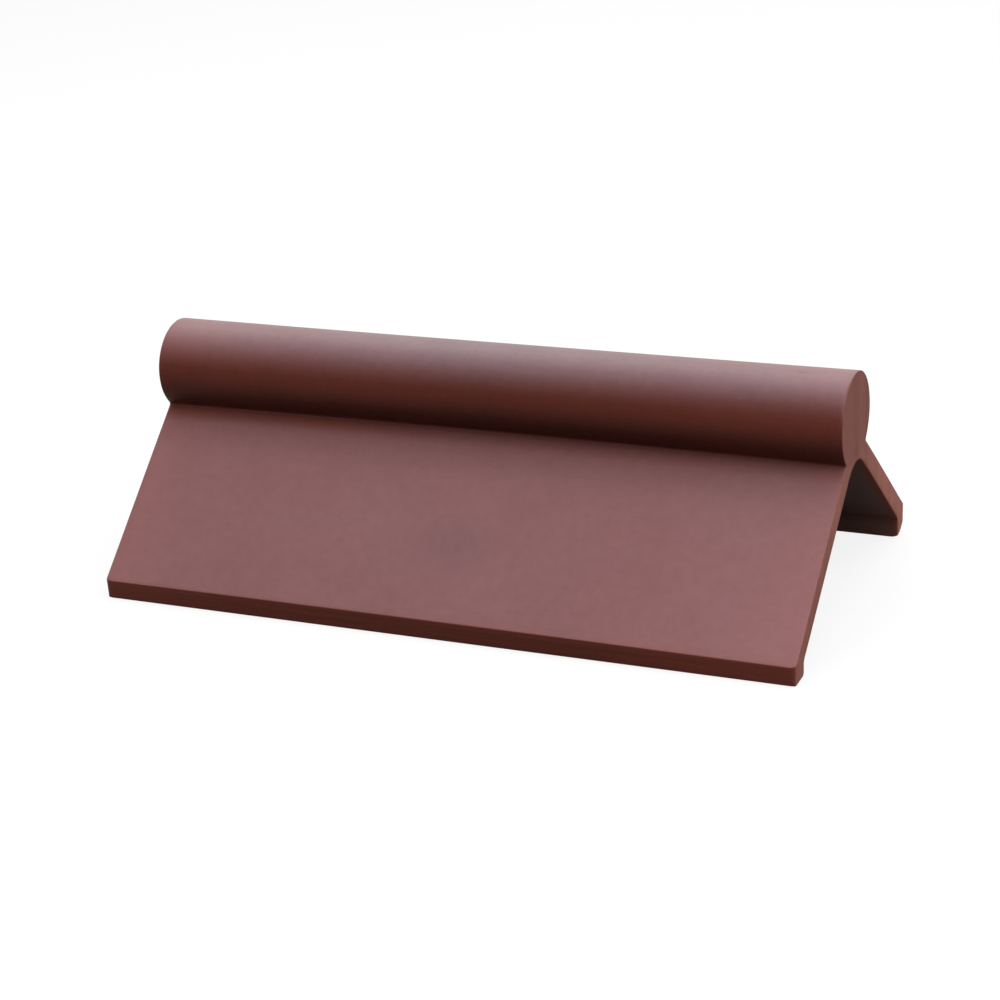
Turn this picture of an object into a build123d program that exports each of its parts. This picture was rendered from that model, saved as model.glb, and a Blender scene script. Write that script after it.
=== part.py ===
from build123d import *
from math import cos, radians, sin, tan
import os

# Angle ridge tile: two flat wings that meet at the ridge under a solid round roll.
# It is one piece of fired clay, extruded along the ridge and cut square at both ends.
# X runs along the ridge, Y across it and Z up. The toes' seats lie on Z = 0.

# Length and angle of the ridge
tile_length = 450.0
ridge_angle = 100.0

# Wings: the width is measured up the outer face, from the toe's arris to the line where
# the two outer faces would meet inside the roll
wing_width = 154.5
wing_thickness = 12.3

# Roll: its centre lies a little above the line where the outer faces would meet
roll_radius = 29.0
roll_centre_rise = 3.5

# Toes: a plumb outer face over a level seat, with a plumb heel on the inside
toe_height = 12.5
seat_width = 16.0

# Roundings of the section, and of the arrises round both ends
inner_ridge_radius = 23.0
crease_radius = 1.2
heel_radius = 4.0
toe_arris_radius = 1.2
end_arris_radius = 0.8

# Places that follow from the sizes above
wing_slope = radians((180 - ridge_angle) / 2)
toe_reach = wing_width * cos(wing_slope)
outer_ridge_height = toe_height + wing_width * sin(wing_slope)
inner_ridge_height = outer_ridge_height - wing_thickness / cos(wing_slope)
heel_reach = toe_reach - seat_width
heel_height = inner_ridge_height - heel_reach * tan(wing_slope)
roll_centre_height = outer_ridge_height + roll_centre_rise

with BuildPart() as ridge_tile:
    with BuildSketch(Plane.YZ) as section:
        # Outside of the wings and toes: half of the outline, mirrored about the ridge
        with BuildLine():
            Polyline((0, outer_ridge_height), (toe_reach, toe_height), (toe_reach, 0), (0, 0))
            mirror(about=Plane.YZ)
        make_face()

        # The roll over the ridge, and the crease where each wing runs into it
        with Locations((0, roll_centre_height)):
            Circle(roll_radius)
        creases = section.vertices().group_by(Axis.Y)[2]
        fillet(creases, crease_radius)

        # The hollow under the wings, down to the heels
        with BuildLine():
            Polyline((0, inner_ridge_height), (heel_reach, heel_height), (heel_reach, 0), (0, 0))
            mirror(about=Plane.YZ)
        make_face(mode=Mode.SUBTRACT)
        inner_ridge = section.vertices().sort_by_distance((0, inner_ridge_height))[0]
        fillet(inner_ridge, inner_ridge_radius)

        # From the bottom up: the seats' arrises, the heels' roots and the toes' upper arrises
        seat_arrises, heel_roots, toe_arrises = section.vertices().group_by(Axis.Y)[:3]
        fillet(heel_roots, heel_radius)
        fillet(seat_arrises + toe_arrises, toe_arris_radius)
    extrude(amount=tile_length / 2, both=True)

    # The arrises round both ends
    ends = ridge_tile.faces().filter_by(Axis.X)
    fillet(ends.edges(), end_arris_radius)

ridge_tile.part.label = "ridge_tile"
os.makedirs("parts", exist_ok=True)
export_step(ridge_tile.part, "parts/ridge_tile.step")
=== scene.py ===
from math import acos, atan2, ceil, cos, pi, radians, sin, sqrt, tan

import bpy
import numpy as np
from mathutils import Matrix, Vector
from mathutils.geometry import tessellate_polygon


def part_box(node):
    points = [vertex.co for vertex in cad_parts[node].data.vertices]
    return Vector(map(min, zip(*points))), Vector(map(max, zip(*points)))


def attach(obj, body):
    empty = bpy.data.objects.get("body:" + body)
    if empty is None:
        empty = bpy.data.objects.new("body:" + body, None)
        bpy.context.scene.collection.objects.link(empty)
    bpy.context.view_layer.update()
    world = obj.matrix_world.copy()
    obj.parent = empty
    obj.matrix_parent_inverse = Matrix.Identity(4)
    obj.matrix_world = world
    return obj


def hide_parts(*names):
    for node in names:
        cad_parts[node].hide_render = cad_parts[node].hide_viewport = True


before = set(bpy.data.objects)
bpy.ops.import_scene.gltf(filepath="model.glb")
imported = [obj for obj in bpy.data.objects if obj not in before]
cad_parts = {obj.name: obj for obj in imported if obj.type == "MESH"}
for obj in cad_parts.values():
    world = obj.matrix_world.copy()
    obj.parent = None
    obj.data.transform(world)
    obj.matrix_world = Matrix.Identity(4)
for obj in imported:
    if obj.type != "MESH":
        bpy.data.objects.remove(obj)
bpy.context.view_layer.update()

# Clay angle ridge tile: the piece of fired clay as it came from the kiln, on a pale floor.
# Lengths are in metres. X runs along the ridge, Y across it and Z up. The camera sees the
# front wing, where Y is below zero, and the right end.

# The section's sizes, as the CAD has them; its length, reach and height come from the CAD node
RIDGE_ANGLE = 100.0
WALL = 0.0123
ROLL_RADIUS = 0.029
ROLL_RISE = 0.0035
TOE_HEIGHT = 0.0125
SEAT_WIDTH = 0.016
INNER_RIDGE_RADIUS = 0.023
CREASE_RADIUS = 0.0012
HEEL_RADIUS = 0.004
TOE_ARRIS_RADIUS = 0.0012

# The arrises between seat and heel; the front one is rubbed
BACK_SEAT_RADIUS = 0.0012
FRONT_SEAT_RADIUS = 0.003

# How finely the surface is divided
OUTSIDE_STEP = 0.0018
INSIDE_STEP = 0.003
ROLL_STEP = 0.0027
RIDGE_STEP = 0.0025
LENGTH_STEP = 0.0024
SMALL_ARC_TURN = radians(14)
SMALL_ARC_FEWEST = 4
ARRIS_RINGS = 5

# The surface lies this much inside the CAD's, so that it stays in the CAD's box
SKIN = 0.00004

# Wear of the arrises round the ends. At the right end the roll's is worn more towards its
# front, most of all at the middle angle above level, and less up to half an angle from there
END_ARRIS = (0.0007, 0.0009)
END_ARRIS_STEPS = 60
ROLL_CRISP_ARRIS = 0.0005
ROLL_WORN_ARRIS = 0.0024
ROLL_WORN_MIDDLE = radians(50)
ROLL_WORN_HALF = radians(45)

# Wear of the toes' corners; the back one at the right end and its foot are worn more
TOE_CORNER = 0.0022
WORN_CORNER = 0.0065
CORNER_SPREAD = 0.012
WORN_FOOT = 0.008
FOOT_BY_LENGTH = 0.9
FOOT_BY_WIDTH = 0.24

# Warp from drying and firing
LEAN_RIGHT = 0.016
LEAN_LEFT = 0.005
LEAN_CURVE = 1.5
BACK_TOE_IN = 0.0028
BACK_HEEL_IN = 0.0043
ROLL_SAG = 0.0004
WING_CROWN = 0.0012
WING_BOW = 0.0009
WING_DROOP = 0.0006
WING_BLEND = 0.06

# Unevenness: sine waves round the section and along it, in radians to the metre. The closer
# the waves round the section, the shallower they are; WAVE_EASE says how soon
WAVE_DEPTH = 0.00022
WAVES = 14
WAVE_SEED = 7
WAVES_ROUND = (8, 60)
WAVES_ALONG = (2, 26)
WAVE_EASE = 20

# How the rubbed look fades away from an arris
ARRIS_FADE = 0.0016
TOE_ARRIS_SHARE = 0.8

# Camera: where it stands, and how it is turned, in degrees
CAMERA_PLACE = (0.59143, -1.27786, 0.61511)
CAMERA_YAW = 25.015
CAMERA_PITCH = 22.13
CAMERA_ROLL = -3.97
CAMERA_LENS = 87.77
CAMERA_SENSOR = 36.0

# Colours of the clay, linear
CLAY = (0.185, 0.0455, 0.0300)
# The bloom's tints, partly kiln bloom and partly a painted sheen of the light from above: bluer
# where a face looks partly up, more neutral where it looks straight up
BLOOM_SHEEN_LOW = (0.140, 0.149, 0.190)
BLOOM_SHEEN_HIGH = (0.158, 0.172, 0.192)
CUT_CLAY = (0.205, 0.083, 0.066)
INSIDE_CLAY = (0.240, 0.155, 0.128)
ARRIS_CLAY = (0.240, 0.068, 0.050)
ARRIS_SHARE = 0.4
RIM_SHARE = 0.7

# Gloss and relief of the clay
CLAY_GLOSS = 0.12
CLAY_ROUGHNESS = 0.5
CUT_ROUGHNESS = 0.85
INSIDE_ROUGHNESS = 0.92
MOTTLE_ROUGHNESS = 0.05
RELIEF_STRENGTH = 0.25
RELIEF_DEPTH = 0.0004
GRAIN_RELIEF = 0.35
MOTTLE_RELIEF = 0.8
DRAG_RELIEF = 0.9

# Noises: scale, detail and roughness
SLOW = (9.0, 3.0, 0.55)
CLOUD = (26.0, 3.0, 0.55)
MOTTLE = (160.0, 4.0, 0.6)
GRAIN = (1500.0, 3.0, 0.6)
STREAK = (1.0, 3.0, 0.6)
CUT_BAND = (1.0, 2.0, 0.5)
NOISE_RANGE = (0.3, 0.7)

# How the streaky noises are stretched along X, Y and Z
DRAG_STRETCH = (14.0, 330.0, 330.0)
STREAK_STRETCH = (9.0, 600.0, 600.0)
CUT_BAND_STRETCH = (1.0, 95.0, 4.0)

# Patches: centre, half sizes and softness. The first three are small marks on the roll
SPECK = ((-0.1446, -0.0116, 0.1419), (0.0012, 0.0012, 0.0012), 0.6)
DASH = ((0.1947, -0.0047, 0.1439), (0.0035, 0.0008, 0.0012), 0.6)
FLECK = ((0.1624, -0.0237, 0.1321), (0.0018, 0.0008, 0.0010), 0.6)
ROLL_SHADE = ((0.02, 0.01, 0.158), (0.15, 0.04, 0.032), 0.9)
HAZE = ((-0.02, -0.07, 0.055), (0.13, 0.03, 0.035), 0.9)
SPOT = ((0.014, -0.069, 0.055), (0.026, 0.020, 0.020), 1.0)
WANDER = 0.02
WANDER_SCALE = 14.0

# Ranges over which a mask goes from 0 to 1: of a place in metres, or of the normal's X or Z.
# INSIDE_DEPTH is counted from the inner ridge and INSIDE_REACH from the heel
CUT_FACING = (0.55, 0.95)
INSIDE_DEPTH = (0.005, 0.003)
INSIDE_REACH = (0.002, 0.0005)
INSIDE_LOW_Z = (0.012, 0.045)
WING_Z = (0.104, 0.094)
WING_FACING = (0.6, 0.75)
# The CREASE_ ranges place the painted shade on the wing along the crease under the roll
CREASE_BAND_Y = (0.05, 0.021)
CREASE_FOOT_Y = (0.031, 0.0235)
CREASE_MIDDLE_X = (0.12, 0.03)
CREASE_LEFT_X = (0.0, -0.12)
ROLL_Z = (0.094, 0.1)
ROLL_SIDE_FACING = (0.99, 0.85)
ROLL_LEFT_X = (-0.13, -0.2)
ROLL_LEFT_FACING = (0.2, 0.5)
# The UNDER_ROLL_ ranges and LEFT_RIM_X place the painted shade on the roll's underside, eased at the
# left end
UNDER_ROLL_Z = (0.090, 0.096)
UNDER_ROLL_FACING = (0.1, -0.5)
LEFT_RIM_X = (-0.212, -0.224)
RIGHT_RIM_X = (0.212, 0.222)
ENDS_X = (0.17, 0.225)
ENDS_FACING = (0.2, 0.7)
LOW_ENDS_X = (0.1, 0.2)
LOW_ENDS_FACING = (0.6, 0.2)
RIGHT_HALF_X = (-0.01, 0.01)
# The RIGHT_LOW_ ranges place the painted light low down towards the right end
RIGHT_LOW_X = (0.05, 0.22)
RIGHT_LOW_Z = (0.09, 0.02)
RIGHT_END_X = (0.11, 0.19)
TOE_Z = (0.03, 0.02)
TOE_FACE_Z = (0.016, 0.012)
CUT_DISC_Z = (0.085, 0.1)
CUT_BACK_Y = (0.0, 0.06)
CUT_FRONT_Y = (-0.02, -0.05)
CUT_FRONT_Z = (0.03, 0.05)
BLOOM_SHEEN_TOP_FACING = (0.8, 0.98)

# The inside's mask at the foot of the hollow, where INSIDE_LOW_Z starts
INSIDE_LOW = 0.6

# How much each mask lightens or darkens the clay
TONE = {
    "roll_shade": -0.22,
    "haze": -0.05,
    "spot": -0.18,
    # Painted shade: the wing darker along the crease, where the roll shades it, most at the middle
    "crease_band": -0.2,
    "crease_middle": -0.08,
    "crease_foot": -0.08,
    # Painted shade: the roll's underside darker, less so at the left end
    "under_roll": -0.6,
    "under_left_rim": 0.25,
    "ends": 0.13,
    "low_ends": 0.2,
    "roll_left": 0.11,
    # Painted light: the clay lighter low down towards the right end, where the side lamp falls
    "right_low": 0.14,
    "wing": 0.33,
    "speck": -0.35,
    "right_rim": 0.7,
}

# How much each noise does so
SLOW_TONE = 0.04
CLOUD_TONE = 0.025
MOTTLE_TONE = 0.05
GRAIN_TONE = 0.06
STREAK_TONE = 0.02
TOE_STREAK_TONE = 0.12

# The bloom, partly kiln bloom and partly a painted sheen of the light from above: how far up a face
# looks where it starts and is full, and what thins or thickens it
BLOOM_SHEEN_UP = (0.25, 0.98)
BLOOM_SHEEN_CURVE = 1.6
ABOVE_ONE = 1.001
BLOOM_SHEEN = {
    "haze": 0.06,
    "spot": -0.06,
    # Less painted sheen along the crease, where the roll shades the wing
    "crease_band": -0.35,
    "crease_foot": -0.35,
    "roll_shade": 0.1,
    "wing_right": 0.13,
    "roll_right": 0.16,
    # Less painted sheen along the crease towards the left end
    "crease_left": -0.25,
    "wing": 0.04,
}
BLOOM_SHEEN_RUBBED = {"arris": -0.2, "dash": -0.35, "fleck": 0.4}
CLOUD_BLOOM_SHEEN = 0.05
MOTTLE_BLOOM_SHEEN = 0.06

# Tone of the cut ends
CUT_TONE = 1.5
CUT_BAND_TONE = 0.2
CUT = {"cut_disc": -0.3, "cut_back": 0.38, "cut_front": 0.1}

# Studio: the floor's and the sky's levels, by what kind of ray meets them
FLOOR_SIZE = 16.0
FLOOR_SEEN = 0.18
FLOOR_GLOW = 0.85
FLOOR_MIRRORED = 0.95
FLOOR_UNSEEN = 0.1
SKY_LOW = 0.05
SKY_HIGH = 0.4
SKY_EDGES = (0.2, 0.6)

# Lamps: place, aim, size and power
OVERHEAD = ((0.1, 0.3, 2.0), (0.1, 0.1, 0.0), 3.0, 44.0)
RIGHT_SIDE = ((2.2, 0.0, 0.7), (0.2, 0.0, 0.1), 1.0, 15.0)

# Places that follow from the sizes above
_, tile_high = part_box("ridge_tile")
half_length = tile_high.x - SKIN
slope = radians((180 - RIDGE_ANGLE) / 2)
toe_reach = tile_high.y
outer_ridge = TOE_HEIGHT + toe_reach * tan(slope)
inner_ridge = outer_ridge - WALL / cos(slope)
heel_reach = toe_reach - SEAT_WIDTH
heel_height = inner_ridge - heel_reach * tan(slope)
roll_centre = outer_ridge + ROLL_RISE
crease_height = roll_centre - ROLL_RADIUS * sin(radians(45))


def angle_of(way):
    return atan2(way[1], way[0])


def arc_points(centre, radius, start, end, out, step=None):
    """Points and outward normals along an arc. out is 1 where the clay is inside it, or -1."""
    turn = abs(end - start)
    if step:
        count = ceil(turn * radius / step)
    else:
        count = max(SMALL_ARC_FEWEST, ceil(turn / SMALL_ARC_TURN))
    turns = np.linspace(start, end, count + 1)
    ways = np.stack([np.cos(turns), np.sin(turns)], 1)
    return np.array(centre) + radius * ways, ways * out


def line_points(start, end, step):
    """Points and outward normals along a straight run, with the clay on its right."""
    start, end = np.array(start), np.array(end)
    run = end - start
    length = np.linalg.norm(run)
    shares = np.linspace(0, 1, max(2, ceil(length / step)) + 1)[:, None]
    normal = np.array([-run[1], run[0]]) / length
    return start + shares * run, np.repeat([normal], len(shares), 0)


def corner_arc(before, corner, after, radius):
    """A rounded corner's first and last point, its centre, first and last angle, and its out."""
    before, corner, after = (np.array(p, float) for p in (before, corner, after))
    back = (before - corner) / np.linalg.norm(before - corner)
    on = (after - corner) / np.linalg.norm(after - corner)
    half = acos(float(back @ on)) / 2
    middle = (back + on) / np.linalg.norm(back + on)
    centre = corner + middle * radius / sin(half)
    first = corner + back * radius / tan(half)
    last = corner + on * radius / tan(half)
    start = angle_of(first - centre)
    turn = (angle_of(last - centre) - start + pi) % (2 * pi) - pi
    return first, last, centre, start, start + turn, 1 if turn < 0 else -1


def roll_runs():
    """The roll from its top down and the crease under it, and the point where the wing starts."""
    down = np.array([cos(slope), -sin(slope)])
    up = np.array([sin(slope), cos(slope)])
    middle = np.array([0.0, roll_centre])
    foot = -ROLL_RISE * cos(slope)
    lift = foot + CREASE_RADIUS
    along = sqrt((ROLL_RADIUS + CREASE_RADIUS) ** 2 - lift**2)
    crease = middle + along * down + lift * up
    meets = angle_of(crease - middle)
    roll = arc_points(middle, ROLL_RADIUS, pi / 2, meets, 1, ROLL_STEP)
    hollow = arc_points(crease, CREASE_RADIUS, meets + pi, angle_of(-up) % (2 * pi), -1)
    return [roll, hollow], middle + along * down + foot * up


def half_outline(seat_radius):
    """The outline for Y above zero, from the roll's top clockwise to the inner ridge."""
    runs, at = roll_runs()
    ridge = (0.0, inner_ridge)
    corners = [
        ((toe_reach, TOE_HEIGHT), TOE_ARRIS_RADIUS, OUTSIDE_STEP),
        ((toe_reach, 0.0), TOE_ARRIS_RADIUS, OUTSIDE_STEP),
        ((heel_reach, 0.0), seat_radius, INSIDE_STEP),
        ((heel_reach, heel_height), HEEL_RADIUS, INSIDE_STEP),
    ]
    afters = [corner for corner, _, _ in corners[1:]] + [ridge]
    for (corner, radius, step), after in zip(corners, afters):
        first, last, centre, start, end, out = corner_arc(at, corner, after, radius)
        runs.append(line_points(at, first, step))
        runs.append(arc_points(centre, radius, start, end, out))
        at = last

    # Up to the middle of the rounding inside the ridge
    across = (-heel_reach, heel_height)
    first, _, centre, start, end, out = corner_arc(at, ridge, across, INNER_RIDGE_RADIUS)
    runs.append(line_points(at, first, INSIDE_STEP))
    middle = (start + end) / 2
    runs.append(arc_points(centre, INNER_RIDGE_RADIUS, start, middle, out, RIDGE_STEP))
    return [np.concatenate([p[:-1] for p in parts] + [parts[-1][-1:]]) for parts in zip(*runs)]


def whole_outline():
    """Both halves, as a closed loop of points and outward normals."""
    back = half_outline(BACK_SEAT_RADIUS)
    front = half_outline(FRONT_SEAT_RADIUS)
    flip = np.array([-1.0, 1.0])
    return [np.concatenate([b, (f * flip)[-2:0:-1]]) for b, f in zip(back, front)]


def waves(distance, x):
    """A slow unevenness from 0 to 1 over the surface, by place round the section and along it."""
    rng = np.random.default_rng(WAVE_SEED)
    total = np.zeros(np.broadcast(distance, x).shape)
    for _ in range(WAVES):
        across = rng.uniform(*WAVES_ROUND)
        length = rng.uniform(*WAVES_ALONG)
        phase = rng.uniform(0, 2 * pi, 2)
        size = 1 / (1 + across / WAVE_EASE)
        total += size * np.sin(across * distance + phase[0]) * np.sin(length * x + phase[1])
    return (total - total.min()) / (total.max() - total.min())


def smooth(share):
    """A share held between 0 and 1, eased at both ends."""
    share = np.clip(share, 0, 1)
    return share**2 * (3 - 2 * share)


def warp(places):
    """The tile's slight warp: the ends lean, the roll sags and the front wing's ends droop."""
    x, y, z = places.T
    share = x / half_length
    below = tile_high.z - z
    lean = np.where(x > 0, LEAN_RIGHT, LEAN_LEFT)
    x = x - share * lean * np.maximum(below, 0) ** LEAN_CURVE / sqrt(tile_high.z)

    # low rises from 0 to 1 up the toe, rise up the wing and high up the roll
    low = np.clip(z / TOE_HEIGHT, 0, 1)
    rise = np.clip((z - TOE_HEIGHT) / (crease_height - TOE_HEIGHT), 0, 1)
    high = np.clip((z - crease_height) / (tile_high.z - crease_height), 0, 1)
    front = smooth(0.5 - y / WING_BLEND)
    bend = (WING_BOW * rise + WING_DROOP * low) * share**2 * front
    z = z + (WING_CROWN * rise - bend) * (1 - high) - ROLL_SAG * (1 - share**2) * high

    # The back toe runs in towards the right end, along the slope of its wing
    reach = [toe_reach / 2, heel_reach, toe_reach]
    inward = np.interp(y, reach, [0, BACK_HEEL_IN, BACK_TOE_IN]) * (1 + share) / 2
    y = y - inward
    z = z + inward * tan(slope) * low * (1 - high)
    return np.stack([x, y, z], 1)


def rounded_toes(places):
    """The plumb edges of the four toe corners, rounded; the back one on the right is worn more."""
    x, y, z = places.T
    worn = (x > 0) & (y > 0)
    radius = np.where(worn, WORN_CORNER, TOE_CORNER)
    from_end = half_length - np.abs(x)
    from_face = toe_reach - np.abs(y)
    short = np.clip(radius - from_end, 0, radius)
    drawn_in = radius - np.sqrt(radius**2 - short**2)
    inward = drawn_in * np.clip(1 - from_face / CORNER_SPREAD, 0, 1)
    y = y - np.sign(y) * inward
    z = z + inward * tan(slope) * np.clip(z / TOE_HEIGHT, 0, 1)

    from_corner = FOOT_BY_LENGTH * from_end + FOOT_BY_WIDTH * from_face
    foot = np.where(worn, np.clip(1 - from_corner / WORN_FOOT, 0, 1), 0)
    z = z + WORN_FOOT * (1 - np.sqrt(1 - foot**2)) * np.clip(1 - z / TOE_HEIGHT, 0, 1)
    return np.stack([x, y, z], 1)


def end_arrises(outline, distance):
    """The size of the arris round the left and the right end, for each point of the outline."""
    rng = np.random.default_rng(WAVE_SEED + 1)
    sizes = rng.uniform(*END_ARRIS, END_ARRIS_STEPS)
    wear = np.interp(distance, np.linspace(0, distance[-1], END_ARRIS_STEPS), sizes)
    wear[0] = wear[-1]
    on_roll = smooth((outline[:, 1] - crease_height) / (ROLL_RADIUS / 2))
    left = wear + (ROLL_CRISP_ARRIS - wear) * on_roll
    round_roll = np.arctan2(outline[:, 1] - roll_centre, -outline[:, 0])
    worn = smooth(1 - np.abs(round_roll - ROLL_WORN_MIDDLE) / ROLL_WORN_HALF)
    return left, left + ROLL_WORN_ARRIS * worn * on_roll


def ring_places(left, right):
    """X and inset of each ring's points, from the left end to the right, given the arrises."""
    turns = np.linspace(pi / 2, 0, ARRIS_RINGS + 1)[:-1]
    rings = [(-half_length + left * (1 - sin(t)), left * (1 - cos(t))) for t in turns]
    for share in np.linspace(0, 1, ceil(2 * half_length / LENGTH_STEP) + 1):
        rings.append((left - half_length + share * (2 * half_length - left - right), left * 0))
    rings += [(half_length - right * (1 - sin(t)), right * (1 - cos(t))) for t in turns[::-1]]
    return [np.stack(parts) for parts in zip(*rings)]


def tile_faces(places, count):
    """Faces between rings of count points, and the triangles of the two ends, all facing out."""
    last = len(places) - count
    faces = []
    for a in range(0, last, count):
        for i in range(count):
            j = (i + 1) % count
            faces.append((a + i, a + count + i, a + count + j, a + j))
    for first, order in ((0, 1), (last, -1)):
        end = [Vector((0, y, z)) for _, y, z in places[first : first + count]]
        for corners in tessellate_polygon([end]):
            faces.append(tuple(first + c for c in corners)[::order])
    return faces


def arris_shares(outline, x):
    """How near each point lies to an arris of an end or a toe, from 0 to 1."""
    by_end = np.exp(-(half_length - np.abs(x)) / ARRIS_FADE)
    from_face = np.abs(outline[:, 0]) - toe_reach
    toe = np.hypot(from_face, outline[:, 1] - TOE_HEIGHT)
    seat = np.hypot(from_face, outline[:, 1])
    by_toe = TOE_ARRIS_SHARE * np.exp(-np.minimum(toe, seat) / ARRIS_FADE)
    return np.maximum(by_end, by_toe[None, :]).reshape(-1)


def tile_mesh():
    """The whole tile as one closed mesh."""
    outline, normals = whole_outline()
    steps = np.linalg.norm(np.roll(outline, -1, 0) - outline, axis=1)
    distance = np.concatenate([[0], np.cumsum(steps)[:-1]])
    x, inset = ring_places(*end_arrises(outline, distance))
    inset = inset + SKIN + WAVE_DEPTH * waves(distance[None, :], x)
    section = outline[None] - normals[None] * inset[..., None]
    section[..., 1] = np.maximum(section[..., 1], 0)
    places = warp(rounded_toes(np.concatenate([x[..., None], section], 2).reshape(-1, 3)))

    mesh = bpy.data.meshes.new("clay_tile")
    mesh.from_pydata(places.tolist(), [], tile_faces(places, len(outline)))
    arris = mesh.attributes.new("arris", "FLOAT", "POINT")
    arris.data.foreach_set("value", arris_shares(outline, x))
    mesh.update()
    return mesh


class Nodes:
    """Adds the nodes of one material or world and joins them."""

    def __init__(self, holder, name):
        self.home = holder.new(name)
        self.home.use_nodes = True
        self.tree = self.home.node_tree
        self.tree.nodes.clear()

    def put(self, socket, value):
        """Joins a socket to another node's output, or sets its value."""
        if isinstance(value, bpy.types.NodeSocket):
            self.tree.links.new(value, socket)
        elif isinstance(value, tuple) and len(socket.default_value) == 4:
            socket.default_value = (*value, 1)
        else:
            socket.default_value = value

    def add(self, kind, inputs=(), output=0, **settings):
        node = self.tree.nodes.new("ShaderNode" + kind)
        for name, value in settings.items():
            setattr(node, name, value)
        for key, value in dict(inputs).items():
            self.put(node.inputs[key], value)
        return node.outputs[output]

    def output(self, kind, shader):
        """Joins the shader to an output node of that kind, and gives the material or world."""
        self.tree.links.new(shader, self.tree.nodes.new("ShaderNodeOutput" + kind).inputs[0])
        return self.home

    def math(self, operation, *values):
        return self.add("Math", enumerate(values), operation=operation)

    def total(self, *values):
        out = values[0]
        for value in values[1:]:
            out = self.math("ADD", out, value)
        return out

    def times(self, *values):
        out = values[0]
        for value in values[1:]:
            out = self.math("MULTIPLY", out, value)
        return out

    def size_of(self, value):
        return self.math("ABSOLUTE", value)

    def rest_of(self, share):
        return self.math("SUBTRACT", 1.0, share)

    def weighed(self, start, masks, shares):
        """start and the sum of the named masks, each times its share."""
        return self.total(start, *(self.times(masks[name], by) for name, by in shares.items()))

    def fade(self, value, start, end, low=0.0, high=1.0):
        """A smooth change from low to high as the value goes from start to end."""
        inputs = {"Value": value, "From Min": start, "From Max": end, "To Min": low, "To Max": high}
        return self.add("MapRange", inputs, interpolation_type="SMOOTHSTEP")

    def span(self, value, start, end, low=0.0, high=1.0):
        """A straight change from low to high as the value goes from start to end."""
        inputs = {"Value": value, "From Min": start, "From Max": end, "To Min": low, "To Max": high}
        return self.add("MapRange", inputs)

    def swing(self, noise, size, middle=0.0):
        """A noise brought to middle, and to size on either side of it."""
        return self.span(noise, *NOISE_RANGE, middle - size, middle + size)

    def mixed(self, share, first, second):
        """A colour from first to second by share."""
        return self.add("Mix", {0: share, 6: first, 7: second}, output=2, data_type="RGBA")

    def colour(self, value):
        node = self.tree.nodes.new("ShaderNodeRGB")
        node.outputs[0].default_value = (*value, 1)
        return node.outputs[0]

    def vector(self, operation, first, second):
        return self.add("VectorMath", {0: first, 1: second}, operation=operation)

    def scaled(self, vector, factor):
        return self.add("VectorMath", {0: vector, "Scale": factor}, operation="SCALE")

    def noise(self, where, scale, detail, roughness):
        inputs = {"Vector": where, "Scale": scale, "Detail": detail, "Roughness": roughness}
        return self.add("TexNoise", inputs)

    def parts(self, vector):
        node = self.tree.nodes.new("ShaderNodeSeparateXYZ")
        self.put(node.inputs[0], vector)
        return node.outputs[0], node.outputs[1], node.outputs[2]

    def patch(self, where, centre, halves, soft):
        """1 at the middle of an ellipsoid, fading to 0 a little past its edge."""
        shares = self.vector("DIVIDE", self.vector("SUBTRACT", where, centre), halves)
        far = self.add("VectorMath", {0: shares}, output="Value", operation="LENGTH")
        return self.fade(far, 1 + soft * 0.5, 1 - soft)


def clay_noises(n, place):
    """The clay's noises by name: streak and drag run along the tile, and cut_band up its ends."""
    return {
        "slow": n.noise(place, *SLOW),
        "cloud": n.noise(place, *CLOUD),
        "mottle": n.noise(place, *MOTTLE),
        "grain": n.noise(place, *GRAIN),
        "drag": n.noise(n.vector("MULTIPLY", place, DRAG_STRETCH), *STREAK),
        "streak": n.noise(n.vector("MULTIPLY", place, STREAK_STRETCH), *STREAK),
        "cut_band": n.noise(n.vector("MULTIPLY", place, CUT_BAND_STRETCH), *CUT_BAND),
    }


def patch_masks(n, place):
    """The marks on the roll, and three clouds of the firing with wandering edges."""
    wander = n.add("TexNoise", {"Vector": place, "Scale": WANDER_SCALE}, output="Color")
    wandered = n.vector("ADD", place, n.scaled(wander, WANDER))
    return {
        "speck": n.patch(place, *SPECK),
        "dash": n.patch(place, *DASH),
        "fleck": n.patch(place, *FLECK),
        "roll_shade": n.patch(wandered, *ROLL_SHADE),
        "haze": n.patch(wandered, *HAZE),
        "spot": n.patch(wandered, *SPOT),
    }


def inside_mask(n, from_ridge, z):
    """1 on the faces of the hollow, and less down by the seats."""
    depth = n.total(z, n.times(from_ridge, tan(slope)))
    return n.times(
        n.fade(depth, *(inner_ridge + d for d in INSIDE_DEPTH)),
        n.fade(from_ridge, *(heel_reach + d for d in INSIDE_REACH)),
        n.fade(z, *INSIDE_LOW_Z, INSIDE_LOW, 1.0),
    )


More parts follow.
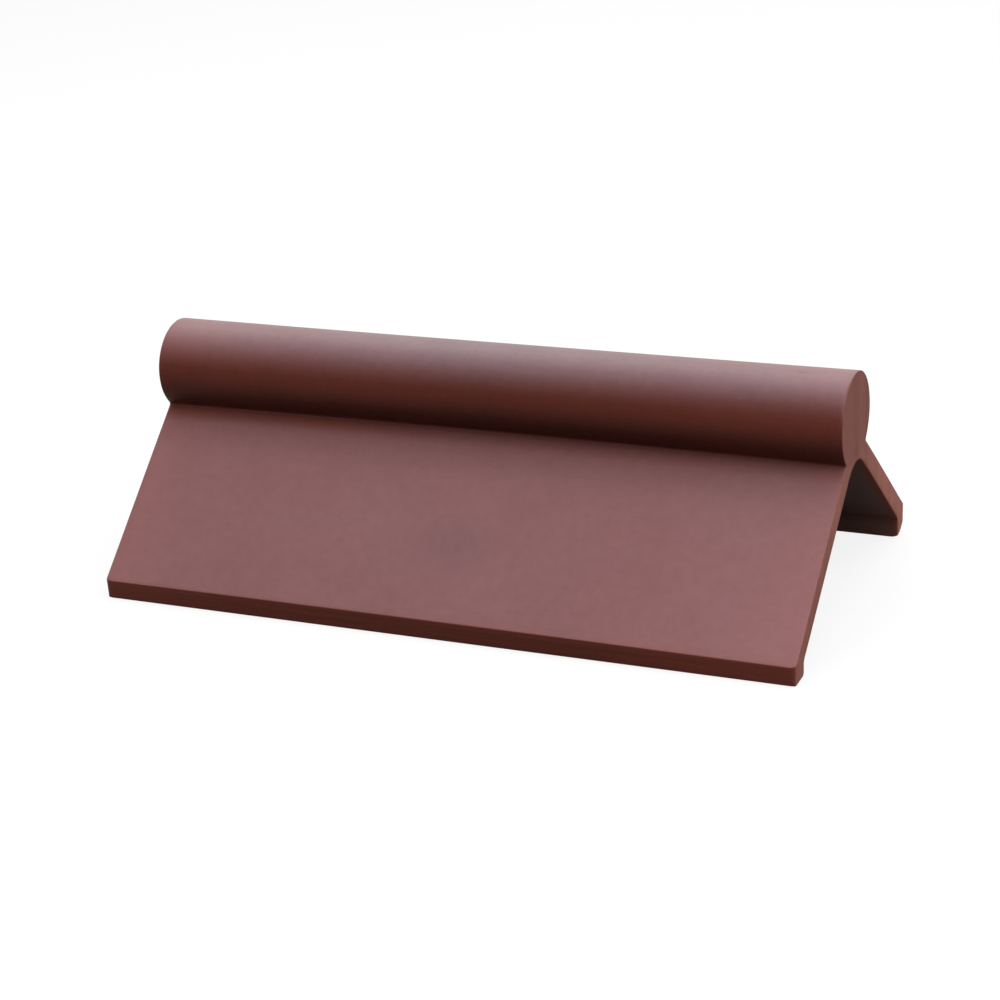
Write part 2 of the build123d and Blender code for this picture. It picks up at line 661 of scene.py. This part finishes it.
def clay_masks(n, place, facing):
    """Where each change of the clay's looks applies, by name, from 0 to 1."""
    x, y, z = n.parts(place)
    facing_x, _, facing_z = n.parts(facing)
    from_middle, from_ridge = n.size_of(x), n.size_of(y)
    cut = n.fade(n.size_of(facing_x), *CUT_FACING)
    inside = inside_mask(n, from_ridge, z)
    wing = n.times(n.fade(z, *WING_Z), n.fade(facing_z, *WING_FACING))
    roll_side = n.times(n.fade(z, *ROLL_Z), n.fade(facing_z, *ROLL_SIDE_FACING))
    # Painted shade on the roll's underside, above the crease
    under_roll = n.times(n.fade(facing_z, *UNDER_ROLL_FACING), n.fade(z, *UNDER_ROLL_Z))
    # Painted shade: the wing darker along the crease, where the roll shades it
    crease_band = n.times(n.fade(from_ridge, *CREASE_BAND_Y), wing)
    crease_foot = n.times(n.fade(from_ridge, *CREASE_FOOT_Y), wing)
    right_end = n.fade(x, *RIGHT_END_X)
    right_or_toe = n.math("MAXIMUM", n.fade(x, *RIGHT_HALF_X), n.fade(z, *TOE_Z))
    low_face = n.fade(facing_z, *LOW_ENDS_FACING)
    left_face = n.fade(facing_z, *ROLL_LEFT_FACING)
    return {
        **patch_masks(n, place),
        "arris": n.add("Attribute", output="Fac", attribute_name="arris"),
        "cut": cut,
        "side": n.rest_of(cut),
        "inside": inside,
        "wing": wing,
        "wing_right": n.times(right_end, wing),
        "roll_left": n.times(n.fade(x, *ROLL_LEFT_X), roll_side, left_face),
        "roll_right": n.times(right_end, roll_side),
        # Painted shade on the roll's underside, eased at the left end
        "under_roll": under_roll,
        "under_left_rim": n.times(under_roll, n.fade(x, *LEFT_RIM_X)),
        "right_rim": n.times(inside, n.fade(x, *RIGHT_RIM_X)),
        # Painted shade on the wing along the crease under the roll
        "crease_band": crease_band,
        "crease_middle": n.times(crease_band, n.fade(from_middle, *CREASE_MIDDLE_X)),
        "crease_foot": crease_foot,
        "crease_left": n.times(crease_foot, n.fade(x, *CREASE_LEFT_X)),
        "ends": n.times(n.fade(from_middle, *ENDS_X), n.fade(facing_z, *ENDS_FACING)),
        "low_ends": n.times(n.fade(from_middle, *LOW_ENDS_X), low_face, right_or_toe),
        # Painted light low down towards the right end
        "right_low": n.times(n.fade(x, *RIGHT_LOW_X), n.fade(z, *RIGHT_LOW_Z)),
        "toe_face": n.fade(z, *TOE_FACE_Z),
        "cut_disc": n.fade(z, *CUT_DISC_Z),
        "cut_back": n.fade(y, *CUT_BACK_Y),
        "cut_front": n.times(n.fade(y, *CUT_FRONT_Y), n.fade(z, *CUT_FRONT_Z)),
    }


def clay_tone(n, noises, masks):
    """How light the body of the clay is, as a factor, with painted shade along the crease and under
    the roll, and painted light low towards the right end.
    """
    toe_streak = n.swing(noises["streak"], TOE_STREAK_TONE)
    return n.total(
        n.weighed(1.0, masks, TONE),
        n.swing(noises["slow"], SLOW_TONE),
        n.swing(noises["cloud"], CLOUD_TONE),
        n.swing(noises["mottle"], MOTTLE_TONE),
        n.swing(noises["grain"], GRAIN_TONE),
        n.swing(noises["streak"], STREAK_TONE),
        n.times(masks["toe_face"], masks["side"], toe_streak),
    )


def clay_bloom_and_sheen(n, noises, masks, facing):
    """The grey bloom, partly kiln bloom and partly a painted sheen of the light from above: the more
    the surface looks up, the more of it; rubbed off the arrises.
    """
    facing_x, _, facing_z = n.parts(facing)
    # The normal's part across the ridge; ABOVE_ONE keeps it from zero on the cut ends
    sideways = n.math("SQRT", n.math("SUBTRACT", ABOVE_ONE, n.times(facing_x, facing_x)))
    up = n.span(n.math("DIVIDE", facing_z, sideways), *BLOOM_SHEEN_UP)
    share = n.times(
        n.math("POWER", up, BLOOM_SHEEN_CURVE),
        n.weighed(1.0, masks, BLOOM_SHEEN),
        n.swing(noises["cloud"], CLOUD_BLOOM_SHEEN, 1.0),
        n.swing(noises["mottle"], MOTTLE_BLOOM_SHEEN, 1.0),
        n.weighed(1.0, masks, BLOOM_SHEEN_RUBBED),
        masks["side"],
    )
    tint = n.mixed(n.fade(facing_z, *BLOOM_SHEEN_TOP_FACING), BLOOM_SHEEN_LOW, BLOOM_SHEEN_HIGH)
    return n.scaled(tint, share)


def clay_colour(n, noises, masks, facing):
    """The body with its inside, arrises and cut ends, under the bloom and its painted sheen."""
    own_inside = n.math("SUBTRACT", masks["inside"], n.times(masks["right_rim"], RIM_SHARE))
    clay = n.mixed(own_inside, CLAY, INSIDE_CLAY)
    clay = n.mixed(n.times(masks["arris"], masks["side"], ARRIS_SHARE), clay, ARRIS_CLAY)
    band = n.swing(noises["cut_band"], CUT_BAND_TONE)
    cut = n.scaled(n.colour(CUT_CLAY), n.total(n.weighed(CUT_TONE, masks, CUT), band))
    clay = n.mixed(masks["cut"], n.scaled(clay, clay_tone(n, noises, masks)), cut)
    return n.vector("ADD", clay, clay_bloom_and_sheen(n, noises, masks, facing))


def clay_material():
    """Unglazed fired clay: red-brown body, a mauve-grey bloom with painted sheen on what faces up,
    painted shade along the crease and under the roll, rougher cut ends.
    """
    n = Nodes(bpy.data.materials, "fired_clay_finish")
    place = n.add("TexCoord", output="Object")
    facing = n.add("TexCoord", output="Normal")
    noises = clay_noises(n, place)
    masks = clay_masks(n, place, facing)
    rough = n.total(
        CLAY_ROUGHNESS,
        n.times(masks["cut"], CUT_ROUGHNESS - CLAY_ROUGHNESS),
        n.times(masks["inside"], INSIDE_ROUGHNESS - CLAY_ROUGHNESS),
        n.swing(noises["mottle"], MOTTLE_ROUGHNESS),
    )
    relief = n.total(
        n.times(noises["grain"], GRAIN_RELIEF),
        n.times(noises["mottle"], MOTTLE_RELIEF),
        n.times(noises["drag"], masks["side"], DRAG_RELIEF),
    )
    bump = {"Strength": RELIEF_STRENGTH, "Distance": RELIEF_DEPTH, "Height": relief}
    inputs = {
        "Base Color": clay_colour(n, noises, masks, facing),
        "Roughness": rough,
        "Specular IOR Level": CLAY_GLOSS,
        "Normal": n.add("Bump", bump),
    }
    return n.output("Material", n.add("BsdfPrincipled", inputs))


def make_tile():
    mesh = tile_mesh()
    tile = bpy.data.objects.new("clay_tile", mesh)
    bpy.context.scene.collection.objects.link(tile)
    mesh.polygons.foreach_set("use_smooth", [len(p.vertices) == 4 for p in mesh.polygons])
    mesh.materials.append(clay_material())
    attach(tile, "root")
    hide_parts("ridge_tile")


def ray_kinds(n):
    """Whether a ray is the camera's, and whether it is a mirrored or transmitted one."""
    path = n.tree.nodes.new("ShaderNodeLightPath")
    mirrored = n.math("MAXIMUM", path.outputs["Is Glossy Ray"], path.outputs["Is Transmission Ray"])
    return path.outputs["Is Camera Ray"], mirrored


def grey(level):
    return (level, level, level)


def make_floor():
    """A floor that the camera sees as near white, with the tile's shadow on it."""
    bpy.ops.mesh.primitive_plane_add(size=FLOOR_SIZE)
    floor = bpy.context.object
    floor.name = "floor"
    n = Nodes(bpy.data.materials, "pale_floor")
    camera_ray, mirrored_ray = ray_kinds(n)
    pale = n.add("BsdfDiffuse", {"Color": grey(FLOOR_SEEN)})
    seen = n.add("AddShader", {0: pale, 1: n.add("Emission", {"Strength": FLOOR_GLOW})})
    mirrored = n.add("BsdfDiffuse", {"Color": grey(FLOOR_MIRRORED)})
    unseen = n.add("BsdfDiffuse", {"Color": grey(FLOOR_UNSEEN)})
    rest = n.add("MixShader", {0: mirrored_ray, 1: unseen, 2: mirrored})
    shader = n.add("MixShader", {0: camera_ray, 1: rest, 2: seen})
    floor.data.materials.append(n.output("Material", shader))


def make_world():
    """White to the camera and in reflections; for light, a soft sky brighter overhead."""
    n = Nodes(bpy.data.worlds, "studio")
    camera_ray, mirrored_ray = ray_kinds(n)
    seen = n.math("MAXIMUM", camera_ray, mirrored_ray)
    _, _, height = n.parts(n.add("TexCoord", output="Generated"))
    fill = n.fade(height, *SKY_EDGES, SKY_LOW, SKY_HIGH)
    level = n.add("Mix", {0: seen, 2: fill, 3: 1.0}, data_type="FLOAT")
    back = n.add("Background", {"Color": grey(1.0), "Strength": level})
    bpy.context.scene.world = n.output("World", back)


def soft_light(name, place, aim, size, power):
    light = bpy.data.lights.new(name, "AREA")
    light.shape = "SQUARE"
    light.size = size
    light.energy = power
    lamp = bpy.data.objects.new(name, light)
    lamp.location = place
    lamp.rotation_euler = (Vector(aim) - Vector(place)).to_track_quat("-Z", "Y").to_euler()
    bpy.context.scene.collection.objects.link(lamp)


def make_camera():
    yaw, pitch, roll = (radians(a) for a in (CAMERA_YAW, CAMERA_PITCH, CAMERA_ROLL))
    ahead = Vector((-sin(yaw) * cos(pitch), cos(yaw) * cos(pitch), -sin(pitch)))
    level = Vector((cos(yaw), sin(yaw), 0))
    above = level.cross(ahead)
    right = level * cos(roll) + above * sin(roll)
    up = above * cos(roll) - level * sin(roll)
    data = bpy.data.cameras.new("camera")
    data.sensor_width = CAMERA_SENSOR
    data.lens = CAMERA_LENS
    camera = bpy.data.objects.new("camera", data)
    turned = Matrix((right, up, -ahead)).transposed().to_4x4()
    camera.matrix_world = Matrix.Translation(CAMERA_PLACE) @ turned
    bpy.context.scene.collection.objects.link(camera)
    bpy.context.scene.camera = camera


make_tile()
make_floor()
make_world()
soft_light("overhead", *OVERHEAD)
soft_light("right_side", *RIGHT_SIDE)
make_camera()
bpy.context.scene.view_settings.view_transform = "Standard"
